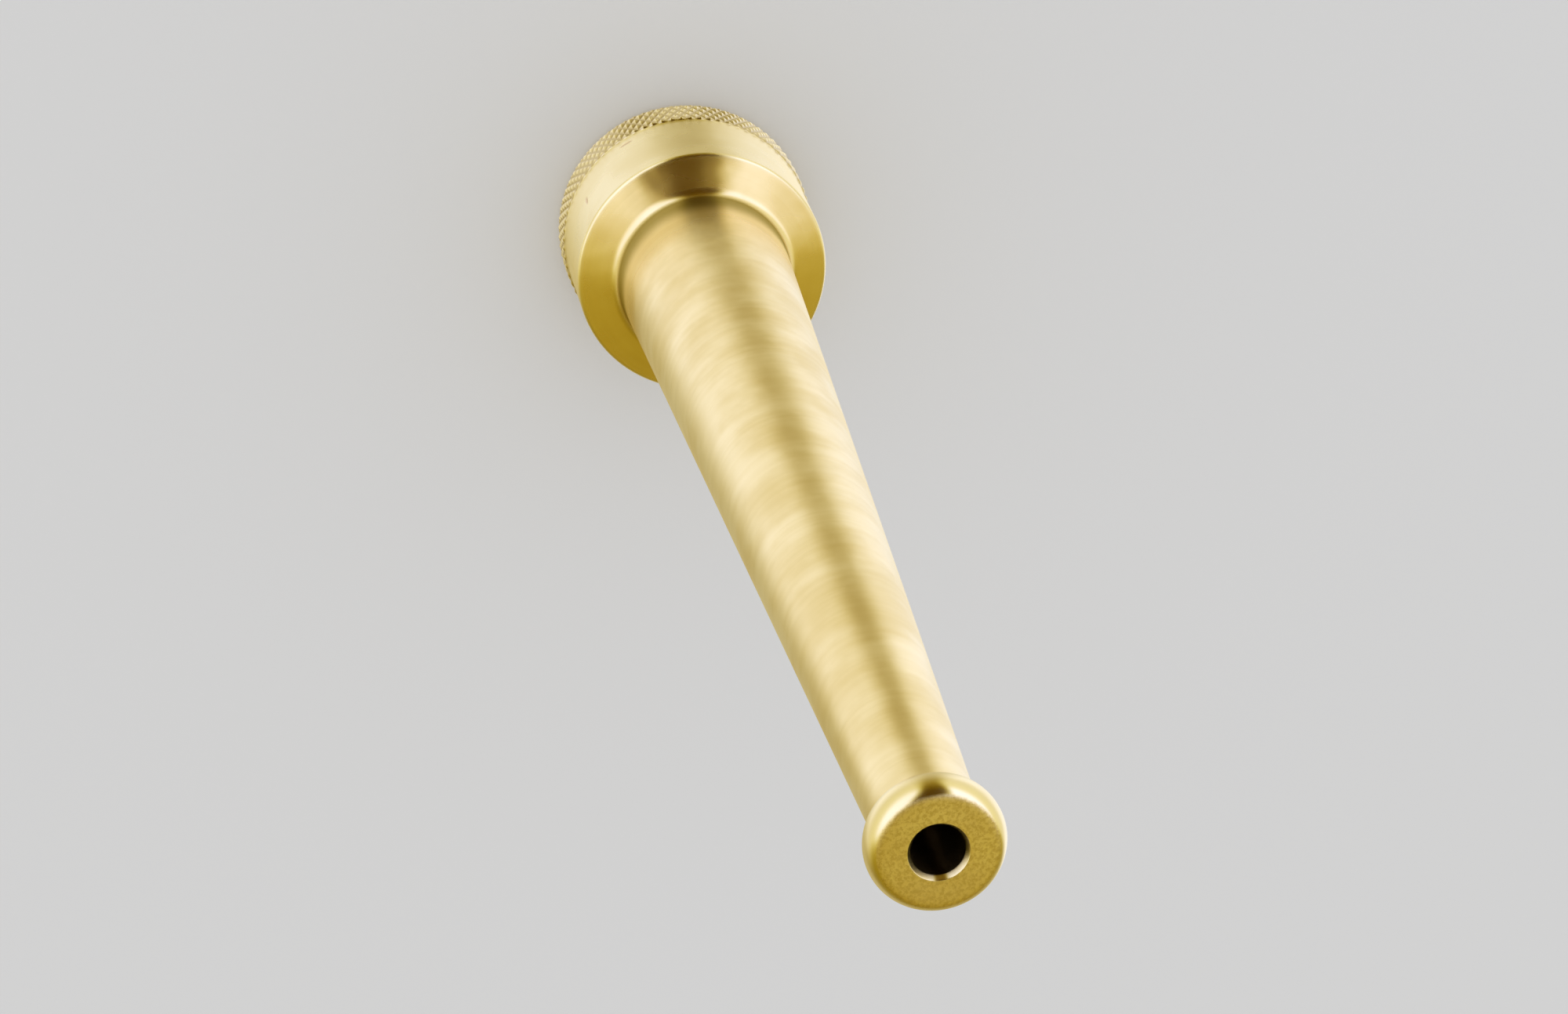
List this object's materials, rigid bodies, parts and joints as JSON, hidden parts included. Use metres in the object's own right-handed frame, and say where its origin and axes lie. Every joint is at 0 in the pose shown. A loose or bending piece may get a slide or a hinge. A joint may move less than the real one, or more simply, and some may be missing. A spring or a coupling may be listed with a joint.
{
  "type": "garden hose spray nozzle",
  "caption": "Straight tapered brass jet nozzle with a knurled female garden hose inlet and a beaded round outlet.",
  "frame": {"origin": "centre of the inlet's open end face, where the hose screws in", "axes": "+Z along the water way from the inlet to the outlet; +X and +Y are any two square directions, because the nozzle is round"},
  "size_m": [0.0338, 0.0338, 0.188],
  "materials": {
    "brass": "satin, machined, uncoated",
    "rubber": "matt, moulded"
  },
  "bodies": {
    "root": {"nozzle_body": "brass", "hose_washer": "rubber"}
  },
  "joints": []
}
